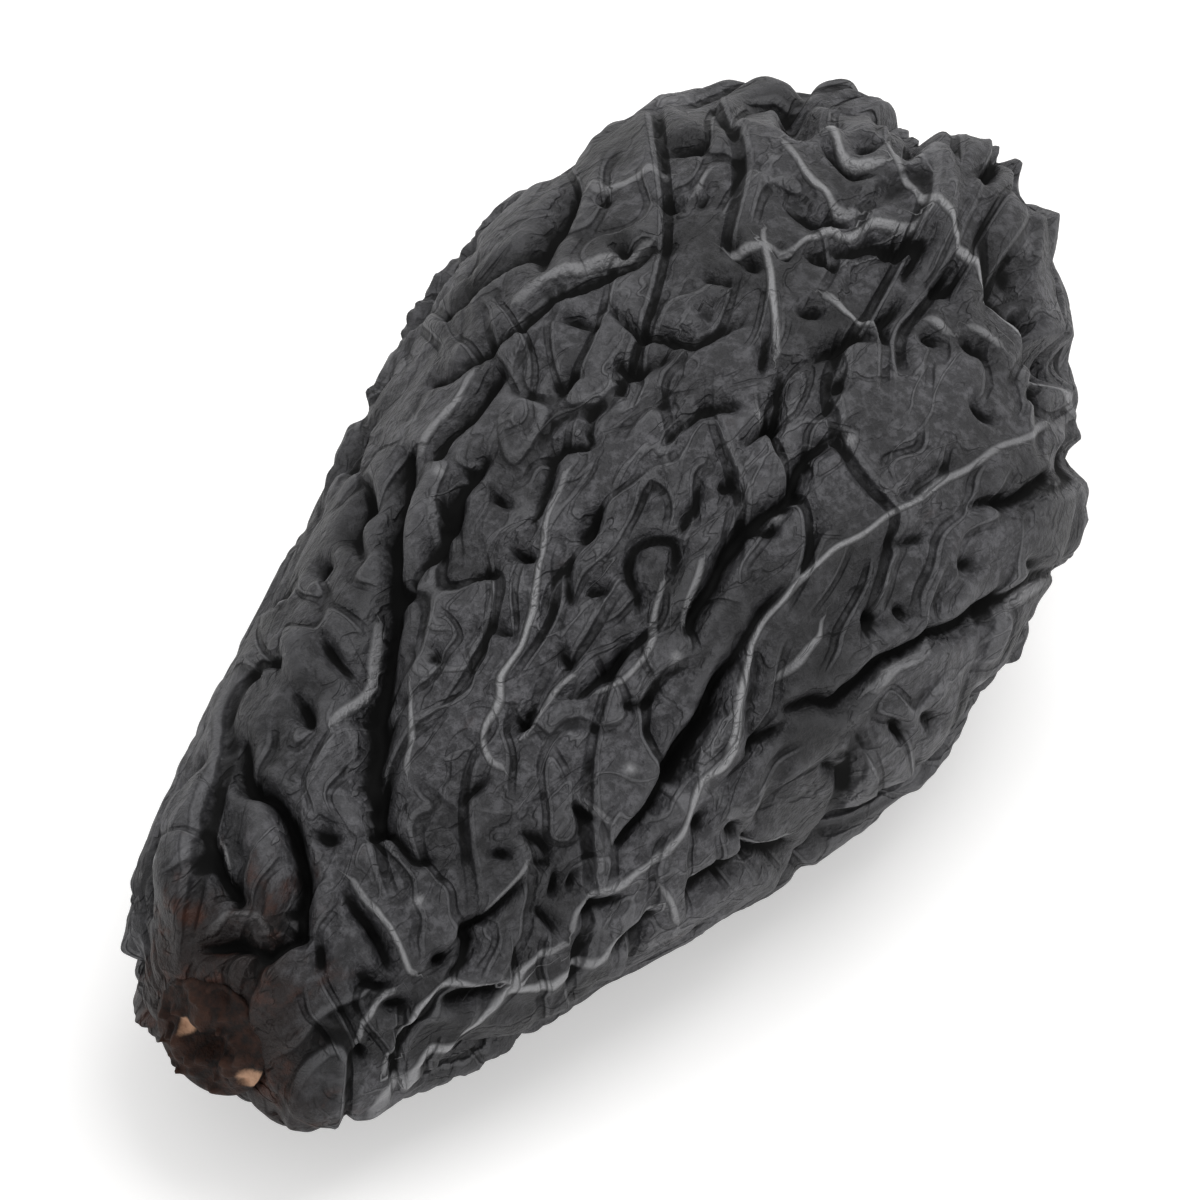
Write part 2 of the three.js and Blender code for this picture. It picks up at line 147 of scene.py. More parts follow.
furrows = [  # depth and width in mm, then the line in mm right and up of the sketch's middle
    (0.5, 0.12, [(-2.45, 6.55), (-1.85, 6.8), (-1, 7.35), (-0.4, 7.8), (0.1, 8.1), (0.7, 8.3),
                 (1.75, 8.8)]),
    (0.45, 0.12, [(-2.35, 7.7), (-1.75, 8.05), (-1.35, 8.3), (-0.85, 8.6), (-0.4, 8.9)]),
    (0.6, 0.2, [(-0.55, 8.4), (-0.4, 8.9), (-0.2, 9.3), (0, 9.75)]),
    (0.7, 0.14, [(-2.45, 5.15), (-2, 5.7), (-1.55, 6.2), (-1.3, 6.6)]),
    (0.45, 0.11, [(0.7, 7.6), (1.15, 7.3), (1.6, 7.2), (2, 7.08), (2.4, 7.2), (3, 7.5)]),
    (0.3, 0.1, [(-0.3, 7.45), (0.1, 7.5), (0.4, 7.4)]),
    (0.35, 0.1, [(-0.3, 6.4), (0.2, 6.5)]),
    (0.4, 0.1, [(0.85, 6.25), (0.85, 6.7), (1.15, 6.6), (1.5, 6.8), (1.75, 7)]),
    (0.45, 0.11, [(0.45, 6.05), (0.28, 5.55), (0.35, 5.35), (0, 5.3), (-0.25, 5.1), (-0.35, 4.75),
                  (-0.5, 4.25), (-0.6, 3.9), (-0.75, 3.7)]),
    (0.45, 0.12, [(2.75, 8.85), (2.9, 8.55)]),
    (0.45, 0.12, [(3.05, 8.5), (3.25, 8.3)]),
    (0.4, 0.11, [(3.45, 7.2), (3.35, 6.8), (3.3, 6.5)]),
    (0.45, 0.11, [(3.65, 6.6), (3.6, 6), (3.45, 5.65), (3.1, 5.3)]),
    (0.35, 0.1, [(2.35, 8.2), (2.6, 8.1), (2.9, 8.25)]),
    (0.4, 0.11, [(1.6, 5.35), (2, 5.65), (2.3, 5.9), (2.6, 5.95), (2.9, 5.93)]),
    (0.35, 0.11, [(1.65, 10.35), (2.1, 10.55), (2.3, 10.65)]),
    (0.3, 0.1, [(1.45, 9.5), (1.9, 9.6)]),
    (0.35, 0.11, [(2.35, 9.75), (2.2, 9.45)]),
    (0.3, 0.1, [(0.4, 9.55), (0.65, 9.6)]),
    (0.45, 0.12, [(4.5, 10.5), (4.7, 10.3), (4.9, 10.15), (5.3, 10.07)]),
    (0.35, 0.11, [(5.05, 10.5), (5.35, 10.55)]),
    (0.45, 0.14, [(3.8, 9.45), (4.3, 9.2), (4.6, 9.35), (4.9, 9.3)]),
    (0.5, 0.14, [(4.5, 8.7), (4.9, 8.85), (5.7, 8.9), (6.1, 8.85), (6, 8.55), (5.9, 8.3)]),
    (0.4, 0.18, [(6.35, 8.15), (6.75, 8.25)]),
    (0.45, 0.12, [(3.6, 8.55), (3.9, 8.7)]),
    (0.4, 0.11, [(4.15, 8.55), (4.6, 8.45)]),
    (0.5, 0.1, [(4, 7.55), (4.35, 7.65)]),
    (0.55, 0.13, [(5.45, 7.1), (5.45, 7.55), (5.7, 7.9)]),
    (0.45, 0.12, [(4.25, 6.85), (4.6, 7.05), (5, 7.12), (5.2, 7.05)]),
    (0.4, 0.11, [(6.2, 7.2), (6.5, 7.15)]),
    (0.4, 0.12, [(6.8, 7.15), (7.2, 6.8)]),
    (0.5, 0.14, [(7.95, 6.15), (8.15, 6.35)]),
    (0.4, 0.11, [(7, 6), (7.3, 5.7)]),
    (0.5, 0.28, [(7.05, 9), (7.2, 8.6), (7.5, 8), (7.9, 7.5), (8.1, 6.95)]),
    (0.4, 0.16, [(7.2, 9.9), (6.8, 9.7)]),
    (0.4, 0.16, [(7.65, 8.5), (7.8, 8.2)]),
    (0.6, 0.16, [(-2.85, 5.25), (-2.95, 4.6), (-3.1, 3.7), (-3.05, 2.6), (-3.3, 1.7)]),
    (1.1, 0.36, [(-3.15, 2.3), (-3.3, 1.7), (-3.4, 0.9), (-3.4, 0.2), (-3.45, -0.5), (-3.3, -1.2)]),
    (0.6, 0.13, [(-1.5, 5.05), (-1.7, 4.8), (-1.95, 4.5), (-2.05, 4.15), (-2.2, 3.7), (-2.4, 3.3),
                 (-2.65, 2.9), (-2.9, 2.65)]),
    (0.35, 0.1, [(-1.45, 4.5), (-1.05, 4.2)]),
    (0.45, 0.11, [(-0.95, 3.45), (-0.65, 3.3)]),
    (0.3, 0.1, [(-1.75, 3), (-1.35, 3.05)]),
    (0.3, 0.1, [(-1.3, 2), (-1, 2.05)]),
    (0.4, 0.11, [(0, 3.3), (-0.05, 2.9), (0, 2.5)]),
    (0.4, 0.12, [(-0.15, 1.7), (-0.05, 1.45)]),
    (0.4, 0.12, [(-0.65, 0.65), (-0.9, 0.4)]),
    (0.25, 0.3, [(-0.1, 2.6), (-0.3, 1.7), (-0.6, 0.9), (-0.9, 0.4)]),
    (0.55, 0.12, [(0.5, 4.15), (0.25, 3.65)]),
    (0.4, 0.1, [(0.3, 2.65), (0.65, 2.8)]),
    (0.45, 0.12, [(1.2, 2.35), (1, 3), (1.1, 3.4), (1.3, 3.6), (1.6, 3.65), (1.85, 3.5), (1.75, 3.05)]),
    (0.4, 0.11, [(0.95, 1.85), (0.65, 1.4), (0.3, 1.05), (0, 0.9)]),
    (0.3, 0.1, [(0.85, 0.75), (1.5, 0.9)]),
    (0.75, 0.18, [(4.4, 5.35), (4.1, 5.1), (3.9, 4.65), (3.7, 4.35), (3.25, 4), (2.95, 3.75), (2.7, 3.4),
                  (2.5, 3.05), (2.25, 2.65), (2.1, 2.25), (2, 2.05)]),
    (0.4, 0.11, [(3.25, 3.8), (3.55, 3.75)]),
    (0.35, 0.11, [(3.5, 5.85), (3.45, 5.6), (3, 5.2)]),
    (0.4, 0.11, [(2.2, 4.5), (2, 4.05), (1.95, 3.7)]),
    (0.4, 0.12, [(3.8, 2.85), (3.4, 2.5), (3.15, 2.15), (2.85, 1.65), (2.6, 1.15)]),
    (0.85, 0.17, [(2.75, 1.45), (2.6, 1.15), (2.4, 0.65), (2, 0), (1.7, -0.6), (1.4, -1.2), (1, -1.6)]),
    (0.25, 0.14, [(3.15, 1.85), (3.15, 1.1), (3.1, 0.25)]),
    (0.25, 0.1, [(6.55, 4.9), (6.05, 4.6), (5.65, 4.3)]),
    (0.45, 0.12, [(6.95, 4.15), (7.15, 4.25), (7.6, 4.38), (8, 4.6), (8.3, 4.8)]),
    (0.6, 0.13, [(8.1, 3.15), (7.6, 2.7), (7.1, 2.4), (6.6, 2.05), (6.1, 1.9), (5.65, 1.65), (5.2, 1.35),
                 (4.9, 1.05), (4.65, 0.8), (4.2, 0.85), (3.8, 0.7)]),
    (0.4, 0.12, [(3.7, 0.4), (3.4, 0.2), (3.1, 0.1)]),
    (0.3, 0.11, [(5.65, 3.65), (6.2, 3.7)]),
    (0.5, 0.18, [(-3.75, 4.7), (-3.7, 4.3), (-3.85, 3.85), (-3.7, 3.4)]),
    (0.45, 0.15, [(-4.2, 1.7), (-3.85, 1.3)]),
    (0.5, 0.16, [(-4.7, 0.85), (-4.4, 0.3)]),
    (0.5, 0.14, [(-6.2, -1.6), (-6.15, -2.1), (-5.7, -2.5), (-5.7, -2.8)]),
    (0.8, 0.17, [(-5.65, 0.1), (-5.55, -0.65), (-5.2, -0.85), (-4.9, -1.15), (-4.75, -1.65),
                 (-4.6, -2.25), (-4.65, -2.7), (-4.75, -3.2), (-4.95, -3.4), (-5.2, -3.6)]),
    (0.6, 0.18, [(-6.3, -3.45), (-6, -3.4), (-5.75, -3.35), (-5.4, -3.45)]),
    (0.5, 0.22, [(-4.4, -1.55), (-4, -1.55)]),
    (0.45, 0.12, [(-3.5, -1.5), (-3.2, -1.35), (-3, -1.55), (-2.7, -1.85), (-2.5, -1.9)]),
    (0.45, 0.15, [(-3.95, -2.5), (-3.6, -2.85), (-3.3, -3.35), (-3.05, -3.75)]),
    (0.4, 0.25, [(-3.6, -3.75), (-3.25, -4.15)]),
    (0.4, 0.14, [(-4.4, -3.2), (-4.3, -3.8)]),
    (0.45, 0.11, [(-0.75, -2.25), (-1.05, -2.6), (-1.4, -2.9), (-1.7, -3.05), (-1.6, -3.35), (-1.7, -3.8),
                  (-1.9, -4)]),
    (0.5, 0.14, [(-1.1, -4.25), (-1.65, -4.3), (-2.1, -4.45)]),
    (0.35, 0.13, [(-3.2, -4.45), (-2.7, -4.45)]),
    (0.4, 0.12, [(1, -2.6), (0.7, -2.75), (0.4, -2.95)]),
    (0.45, 0.13, [(1.65, -3), (1.25, -3.25), (0.8, -3.6)]),
    (0.4, 0.11, [(-0.15, -2.1), (-0.1, -2.6)]),
    (0.35, 0.1, [(0.25, -2.1), (0.2, -2.5)]),
    (0.4, 0.11, [(-0.35, -2.85), (-0.1, -3.25)]),
    (0.4, 0.1, [(-0.85, -1.35), (-0.4, -1.55), (-0.2, -1.8)]),
    (0.35, 0.1, [(-0.45, -1.9), (-0.2, -1.95)]),
    (0.35, 0.1, [(0.1, -0.95), (0.55, -1.2)]),
    (0.35, 0.1, [(-1.35, -1.75), (-1.05, -1.8)]),
    (0.35, 0.1, [(-1.8, -0.9), (-1.5, -0.55)]),
    (0.6, 0.16, [(3.95, -1.9), (3, -2.05), (2.5, -2.35), (2.2, -2.55)]),
    (0.35, 0.12, [(2.4, -1.15), (2.3, -1.5)]),
    (0.4, 0.13, [(-6.3, -0.15), (-6.8, -0.8), (-7.1, -1.55), (-7.4, -2.7)]),
]
ridges = [  # rise and width, then the line as above
    (0.34, 0.1, [(8.2, 5.65), (7.3, 5.15), (6.6, 4.75), (5.5, 4.05), (5, 3.7), (4.5, 3.4), (4.1, 3.05),
                 (3.7, 2.65), (3.35, 2.25), (3.1, 1.85), (3, 1.45), (2.95, 1), (2.85, 0.4), (2.6, -0.25),
                 (2.3, -0.55), (2.1, -1.15), (2, -1.45), (1.75, -1.75), (1.4, -2.05), (1, -2.35),
                 (0.6, -2.55), (0.3, -2.85), (0.15, -3.15)]),
    (0.34, 0.14, [(5.5, 10.45), (5.9, 9.75), (6.3, 9.2), (6.75, 8.6), (7.15, 8.15), (7.55, 7.6),
                  (7.9, 7.1), (8.25, 6.65), (8.5, 6.25), (8.65, 5.85)]),
    (0.25, 0.1, [(4.25, 10.95), (4.6, 10.65), (4.8, 10.35), (5.2, 10.2), (5.45, 10.15)]),
    (0.22, 0.1, [(3.7, 10.4), (4, 10), (4.3, 9.75), (4.6, 9.5), (5, 9.4)]),
    (0.24, 0.1, [(3.45, 8.6), (4.15, 8.8), (4.6, 8.95), (5.1, 9.07), (5.7, 9.12), (6.1, 9.15)]),
    (0.26, 0.1, [(3.35, 8.9), (3.45, 8), (3.55, 7.4), (3.55, 6.75)]),
    (0.2, 0.1, [(2.7, 8.75), (3, 8.65), (3.45, 8.55)]),
    (0.2, 0.1, [(4.4, 7.85), (4.8, 7.6), (5.2, 7.25)]),
    (0.28, 0.1, [(-0.1, 4.65), (-0.3, 4.15), (-0.45, 3.6), (-0.55, 2.9), (-0.7, 2.25), (-0.85, 1.75),
                 (-1.05, 1.3), (-1.2, 1.05), (-1.3, 0.6), (-1.45, 0.1), (-1.4, -0.2), (-1.25, -0.35)]),
    (0.2, 0.1, [(0.05, 1.3), (-0.2, 1.1), (-0.5, 0.6), (-0.85, 0.2)]),
    (0.2, 0.11, [(1.55, 2.8), (1.45, 2.1), (1.25, 1.6), (0.9, 1.2), (0.5, 1)]),
    (0.2, 0.1, [(2.25, 3.25), (2.1, 2.75), (1.95, 2.25)]),
    (0.18, 0.1, [(-0.9, 7.75), (-0.2, 8.2), (0.5, 8.4), (1.3, 8.75)]),
    (0.2, 0.11, [(-2.7, 5.25), (-2.1, 6), (-1.7, 6.5)]),
    (0.22, 0.12, [(-3.4, 2.15), (-3.55, 1.4), (-3.75, 0.75), (-4, 0.3)]),
    (0.2, 0.12, [(-2.75, 0.95), (-2.72, 0.4), (-2.8, -0.45)]),
    (0.28, 0.11, [(-3.85, -2.35), (-3.5, -2.65), (-3.25, -2.9), (-3, -3.3), (-2.75, -3.75),
                  (-2.6, -3.85)]),
    (0.26, 0.11, [(-1, -4.1), (-2, -4.1), (-2.35, -4.35), (-2.7, -4.75), (-2.9, -5.2), (-3.2, -5.65)]),
    (0.22, 0.11, [(-3, -4.15), (-3.25, -4.3), (-3.45, -4.65), (-3.6, -5.15)]),
    (0.3, 0.11, [(1.5, -2.9), (1, -3.25), (0.5, -3.65), (0, -3.95), (-0.4, -4.1), (-1, -4.3),
                 (-1.5, -4.65), (-2, -5.1), (-2.5, -5.45), (-3, -5.75), (-3.5, -6), (-4, -6.25),
                 (-4.4, -6.45)]),
    (0.22, 0.1, [(0, -3.4), (-0.6, -3.75), (-0.85, -4.1), (-1, -4.25)]),
    (0.2, 0.1, [(1.65, -2.5), (1.85, -3)]),
    (0.18, 0.1, [(8.05, 2.95), (7.5, 2.5)]),
    (0.18, 0.1, [(6.15, 1.75), (5.5, 1.35), (5.15, 1.05)]),
    (0.18, 0.11, [(4.45, 2.3), (4.35, 2), (4, 1.65), (3.6, 1.25)]),
    (0.22, 0.11, [(3.95, -1.75), (3, -1.95), (2.25, -2.3)]),
    (0.15, 0.1, [(0.4, 9.7), (1, 9.8), (1.75, 10)]),
    (0.15, 0.1, [(2.4, 10.05), (2.15, 9.75)]),
    (0.15, 0.1, [(6.9, 7.35), (7.45, 6.95)]),
    (0.15, 0.1, [(6.2, 7.45), (6.6, 7.3)]),
    (0.15, 0.1, [(0.25, -0.85), (0.7, -1.2)]),
    (0.18, 0.11, [(-6, -1.7), (-5.9, -2.15)]),
    (0.18, 0.12, [(-6.2, -3.2), (-5.75, -2.95), (-5.4, -2.9), (-5.2, -3.15)]),
    (0.15, 0.1, [(-0.65, -1.9), (-0.95, -2.3), (-1.35, -2.72)]),
]
pits = {  # depth, radius and middles
    "depth": 0.35, "radius": 0.15,
    "at": [(5.65, 0.4), (6.15, 0.55), (4.7, -0.45), (6.95, 3.25), (5.8, 2.4), (5.3, 2.2), (7.85, 3.25),
           (2.9, -1.5), (3.25, -1.75), (2.4, 7.55), (4.65, 6.25), (2.65, 4.55), (-2.25, -3.6),
           (0.9, 8.75), (-2.35, 1.45), (-2.9, 0.85), (-3.6, -5.4), (8.15, 7.45), (-4.4, 3.2)],
}
flecks = {  # pale specks of bloom
    "radius": 0.09,
    "at": [(1.8, 1.6), (7.05, 1.15), (3.6, 4), (3.25, 5.7), (4.8, 5.3), (-2.65, -2.6), (-6.9, -2.05),
           (-2.3, 4.8), (1.1, -0.35)],
}
swells = [  # broad lobes and hollows: rise, middle, half sizes and lean in degrees
    (0.35, (-5.2, -2.1), (0.42, 1.1), 8),
    (0.35, (-6.55, -1.8), (0.5, 1.4), -8),
    (0.3, (-4.65, 1.6), (0.35, 0.6), 10),
    (0.2, (-2.6, 3.9), (0.3, 1.0), -14),
    (0.22, (-2.6, -2.9), (0.9, 1.0), 0),
    (-0.3, (5.6, 2.9), (1.7, 0.9), 33),
    (-0.3, (5.6, 8.1), (1.0, 0.9), 0),
    (0.6, (7.4, 9.8), (1.6, 1.7), 0),
    (0.3, (8.2, 4.2), (1.2, 1.6), 0),
    (0.2, (-1.4, 8.4), (1.8, 2.2), 0),
    (-0.5, (3.8, 11.6), (2.4, 0.9), 0),
    (-0.4, (4.8, -1.5), (2.0, 1.2), 0),
    (-0.4, (-7.4, -3.9), (1.0, 1.6), 0),
    (-0.4, (-2.2, -5.6), (1.8, 0.9), 0),
    (-0.5, (4.0, 11.1), (0.45, 0.6), 0),  # notches of the outline
    (-0.5, (5.9, 10.75), (0.45, 0.6), 0),
    (-0.45, (7.95, 9.6), (0.5, 0.5), 0),
    (-0.8, (8.5, 6.75), (0.6, 0.5), 0),
    (-0.35, (8.6, 5.05), (0.5, 0.35), 0),
]


def plumpForm(polar, angle):
    share = (1 - np.cos(polar)) / 2
    end = np.clip(np.sin(polar), 0, 1) ** mixed(raisin["stemBluntness"], raisin["tipBluntness"], share)
    half = raisin["width"] / 2 * end * mixed(raisin["stemWidth"], 1, smooth(share, 0, raisin["widestAt"]))
    tallness = smooth(share, 0, raisin["tallestAt"])
    tall = raisin["height"] / 2 * end * mixed(raisin["stemHeight"], 1, tallness)
    middle = raisin["height"] / 2 * mixed(raisin["stemHeight"] + 0.1, 1, tallness) - raisin["flatSpot"]

    def blunt(value):
        return np.sign(value) * np.abs(value) ** raisin["sideBluntness"]

    x = raisin["length"] * (share - 0.5)
    y = (half * blunt(np.cos(angle)) + raisin["bow"] * np.sin(math.pi * share)
         + raisin["slantY"] * (share - 0.5))
    z = middle + tall * blunt(np.sin(angle))
    return np.stack([x, y, z], axis=1)


def sketchAxes():  # right, up and towards the eye, for the view that the folds are sketched from
    turn, tilt = math.radians(raisin["azimuth"]), math.radians(raisin["elevation"])
    right = np.array([math.cos(turn), math.sin(turn), 0])
    away = np.array([-math.sin(turn), math.cos(turn), 0])
    above = np.array([0, 0, 1])
    return (right, away * math.sin(tilt) + above * math.cos(tilt),
            above * math.sin(tilt) - away * math.cos(tilt))


def strokeGap(flat, knots):  # signed distance to a smooth stroke, and how much the stroke has faded there
    steps = 8 * len(knots)
    line = smoothLine(knots, steps)
    near = ((flat > line.min(axis=0) - 1) & (flat < line.max(axis=0) + 1)).all(axis=1)
    spots = flat[near]
    best = np.hypot(spots[:, None, 0] - line[None, :, 0],
                    spots[:, None, 1] - line[None, :, 1]).argmin(axis=1)
    found = np.full(len(spots), 9.0)
    for start in (np.maximum(best - 1, 0), np.minimum(best, steps - 2)):  # the stretches beside that point
        stretch = line[start + 1] - line[start]
        off = spots - line[start]
        along = np.clip((off * stretch).sum(axis=1) / (stretch ** 2).sum(axis=1), 0, 1)
        reach = np.hypot(*(off - stretch * along[:, None]).T)
        side = np.where(stretch[:, 0] * off[:, 1] < stretch[:, 1] * off[:, 0], -1, 1)
        found = np.where(reach < np.abs(found), reach * side, found)
    gap, fade = np.full(len(flat), 9.0), np.zeros(len(flat))
    gap[near] = found
    fade[near] = np.sqrt(np.sin(math.pi * mixed(0.08, 0.92, best / (steps - 1))))
    return gap, fade


def nearer(first, second):  # of two signed distances, the shorter
    return np.where(np.abs(first) < np.abs(second), first, second)


def bell(gap, width):
    return np.exp(-(gap / width) ** 2)


def creases(gap, step, cut, width):  # a step down where the gap turns positive, with a crack at its foot
    return 0.3 * cut * bell(gap + 2 * width, width) - step * np.tanh(gap / width / 2) - cut * bell(gap, width)


def sketchedRelief(base, normal):
    right, up, eye = sketchAxes()
    shown, plain = (smooth(normal @ eye, *raisin[reach]) for reach in ("sketchReach", "lineReach"))
    flat = np.stack([base @ right, base @ up], axis=1)
    flat[shown <= 0] = 99
    # crest marks the ridge lines that the finish lightens as a painted highlight; crack marks the furrows and
    # pits that it darkens as painted shade
    height, crest, crack = (np.zeros(len(base)) for _ in range(3))
    ridgeGap, slitGap = (np.full(len(base), 9.0) for _ in range(2))
    plates = []
    for seed, spacing, flow, spread, step, cut, width in raisin["sketchedLayers"]:
        bend = [flowField(seed + i, 3 * spacing, flow, 180)(flat) for i in (1, 2)]
        bent = flat + 0.35 * spacing * np.stack(bend, axis=1)
        patchy = smooth(flowField(seed + 3, 1.8 * spacing, flow, 120)(flat), -0.7, 0.6)
        gap = flowField(seed, spacing, flow, spread, True)(bent)
        height += creases(gap, step, cut, width) * patchy
        plates.append((gap, patchy * smooth(plain, 0.5, 0.8)))
    wobble = raisin["wobble"]
    shake = [flowField(wobble["seed"] + i, wobble["spacing"], 0, 180)(flat) for i in (0, 1)]
    flat = flat + wobble["reach"] * np.stack(shake, axis=1)
    for depth, width, knots in furrows:
        gap, fade = strokeGap(flat, knots)
        narrow = bell(gap, width * mixed(0.4, 1, fade))
        slope, rim = np.exp(-np.abs(gap) / (1.6 * width)), bell(np.abs(gap) - 2 * width, width)
        height -= fade * depth * (0.3 * slope + 0.6 * narrow - 0.12 * rim)
        crack = np.maximum(crack, fade * narrow * min(1, depth / 0.65))
        slitGap = nearer(gap, slitGap)
    for rise, width, knots in ridges:
        gap, fade = strokeGap(flat, knots)
        height += 0.4 * fade * rise * bell(gap, 1.2 * width)
        crest = np.maximum(crest, fade * bell(gap, 2 * width) * min(1, rise / 0.25))
        crack = crack * (1 - 0.8 * fade * bell(gap, 0.8 * width))
        ridgeGap = nearer(gap, ridgeGap)
    for middle in pits["at"]:
        hole = bell(np.hypot(*(flat - middle).T), pits["radius"])
        height -= pits["depth"] * hole
        crack = np.maximum(crack, hole)
    height *= plain
    for rise, middle, half, lean in swells:
        turn = math.radians(lean)
        off = flat - np.array(middle)
        side = (off[:, 0] * math.cos(turn) + off[:, 1] * math.sin(turn)) / half[0]
        rest = (off[:, 1] * math.cos(turn) - off[:, 0] * math.sin(turn)) / half[1]
        height += shown * rise * np.clip(1 - side ** 2 - rest ** 2, 0, 1)
    speck = sum(bell(np.hypot(*(flat - middle).T), flecks["radius"]) for middle in flecks["at"])
    masks = {"crest": crest * plain, "crack": crack * plain, "speck": speck * plain}
    return height, masks, {"ridgeGap": ridgeGap, "slitGap": slitGap}, plates, plain


def skinRelief(base, normal, polar, angle):
    x, z = base[:, 0], base[:, 2]
    drift, dents = raisin["drift"], raisin["dents"]
    ends = smooth(np.sin(polar), 0.03, 0.3)
    belly = smooth(z, 0, raisin["bellyBelow"])
    bentX = x + drift["along"] * waveField(
        drift["seed"], drift["spacing"], drift["slant"])(x, angle)
    bentAngle = angle + drift["around"] * waveField(
        drift["seed"] + 1, drift["spacing"], drift["slant"])(x, angle)
    strength = waveField(dents["seed"] + 1, dents["spacing"], dents["slant"])(x, angle)
    patchy = mixed(0.45, 1, smooth(strength, -0.8, 0.6))
    height = (dents["height"] * waveField(dents["seed"], dents["spacing"], dents["slant"])(x, angle)
              * ends * belly)
    sketched, masks, gaps, plates, shown = sketchedRelief(base, normal)
    weight = ends * mixed(0.25, 1, belly) * patchy
    plates = [(np.full(len(x), 9.0), np.zeros(len(x)))] + plates
    for i, (seed, spacing, trough, step, cut, width, sketchedShare) in enumerate(raisin["layers"]):
        gap = waveField(seed, spacing, raisin["waveSlant"], True)(bentX, bentAngle)
        share = weight * mixed(1, sketchedShare, shown)
        height += share * (creases(gap, step, cut, width)
                           - trough * (1 - smooth(np.abs(gap), 0, 0.25 * spacing)))
        hidden = weight * (1 - smooth(shown, 0.1, 0.5))
        # the plate masks mark the crack lines of the fold layers, which the finish darkens as painted shade,
        # with a painted highlight on a rim beside them
        gaps[f"plateGap{i}"] = np.where(shown > 0.5, plates[i][0], gap)
        masks[f"plate{i}"] = np.where(shown > 0.5, plates[i][1] * ends, hidden)
    masks["crest"] *= ends
    return height + raisin["plump"] + sketched * ends, masks, gaps


def endRelief(base, angle):
    stem = plumpForm(np.array([0.0]), np.array([0.0]))[0]
    tip = plumpForm(np.array([math.pi]), np.array([0.0]))[0]
    stemReach = np.hypot(base[:, 1] - stem[1], base[:, 2] - stem[2])
    tipReach = np.hypot(base[:, 1] - tip[1], base[:, 2] - tip[2])
    gather = 1 + 0.4 * np.cos(7 * angle + 1) + 0.4 * np.cos(4 * angle + 2.5)
    lip = raisin["lipHeight"] * gather * np.exp(
        -((stemReach - raisin["lipRadius"]) / raisin["lipWidth"]) ** 2)
    rim = raisin["hollowRadius"] * (1 + 0.1 * np.cos(3 * angle + 1) + 0.08 * np.cos(7 * angle))
    cup = raisin["hollowDepth"] * (1 - smooth(stemReach, rim - 0.3, rim + 0.3))
    dimple = raisin["dimpleDepth"] * np.exp(-(tipReach / raisin["dimpleRadius"]) ** 2)
    atStem = base[:, 0] < 0
    scar = np.where(atStem, 1 - smooth(stemReach, 1.2, 3.0), 0)
    return np.where(atStem, lip - cup, -dimple), scar


def blurred(grid, reach):  # a mean over a window of the skin's grid, which closes on itself around the fruit
    for axis, mode in ((0, "edge"), (1, "wrap")):
        pad = [(0, 0), (0, 0)]
        pad[axis] = (reach + 1, reach)
        total = np.cumsum(np.pad(grid, pad, mode=mode), axis=axis)
        span = np.arange(grid.shape[axis])
        grid = (np.take(total, span + 2 * reach + 1, axis) - np.take(total, span, axis)) / (2 * reach + 1)
    return grid


def soften(values, places, reach):  # the mean of the values around each point of the skin
    grid = np.zeros((raisin["rings"] + 1, raisin["segments"]))
    grid[places] = values
    grid[0], grid[-1] = grid[0].sum(), grid[-1].sum()
    return blurred(grid, reach)[places]


def addMask(mesh, name, values):
    mask = mesh.attributes.new(name, "FLOAT", "POINT")
    mask.data.foreach_set("value", np.ascontiguousarray(values, np.float32))


def makeRaisin():
    bpy.ops.object.select_all(action="DESELECT")
    bpy.ops.mesh.primitive_uv_sphere_add(segments=raisin["segments"], ring_count=raisin["rings"], radius=1)
    skin = bpy.context.object
    skin.name = "raisin_skin"
    mesh = skin.data
    count = len(mesh.vertices)
    ball = np.empty(count * 3)
    mesh.vertices.foreach_get("co", ball)
    ball = ball.reshape(-1, 3)
    evenPolar = np.arccos(np.clip(-ball[:, 2], -1, 1))
    evenAngle = np.arctan2(ball[:, 1], ball[:, 0])
    polar = evenPolar + raisin["crowdAlong"] * np.sin(2 * evenPolar)
    angle = evenAngle - raisin["crowding"] * np.sin(evenAngle - math.radians(raisin["crowdAt"]))
    base = plumpForm(polar, angle)
    mesh.vertices.foreach_set("co", base.ravel())
    mesh.update()
    normal = np.empty(count * 3)
    mesh.vertices.foreach_get("normal", normal)
    normal = normal.reshape(-1, 3)
    places = (np.rint(evenPolar / math.pi * raisin["rings"]).astype(int),
              np.rint(evenAngle / (2 * math.pi) * raisin["segments"]).astype(int) % raisin["segments"])
    height, masks, gaps = skinRelief(base, normal, polar, angle)
    height = mixed(height, soften(height, places, 1), 0.4)
    ends, scar = endRelief(base, angle)
    over = height - soften(soften(height, places, 3), places, 3)  # how far the skin stands out
    shaped = base + normal * (height + ends)[:, None]
    shaped[:, 2] = np.maximum(shaped[:, 2], 0)
    low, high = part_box("raisin")
    shift = (np.array(low + high) / mm - shaped.min(axis=0) - shaped.max(axis=0)) / 2
    shift[2] = 0
    mesh.vertices.foreach_set("co", ((shaped + shift) * mm).ravel())
    mesh.update()
    # painted light: the skin that stands out is lightened in the finish as a painted highlight, the skin that
    # sinks is darkened as painted shade
    masks.update(scar=scar, hump=smooth(over, 0.03, 0.14), hollow=smooth(-over, 0.02, 0.16))
    for name, values in masks.items():
        addMask(mesh, name, values)
    for name, values in gaps.items():
        addMask(mesh, name, np.clip(values, -0.6, 0.6))
    bpy.ops.object.shade_smooth()
    return skin, shift


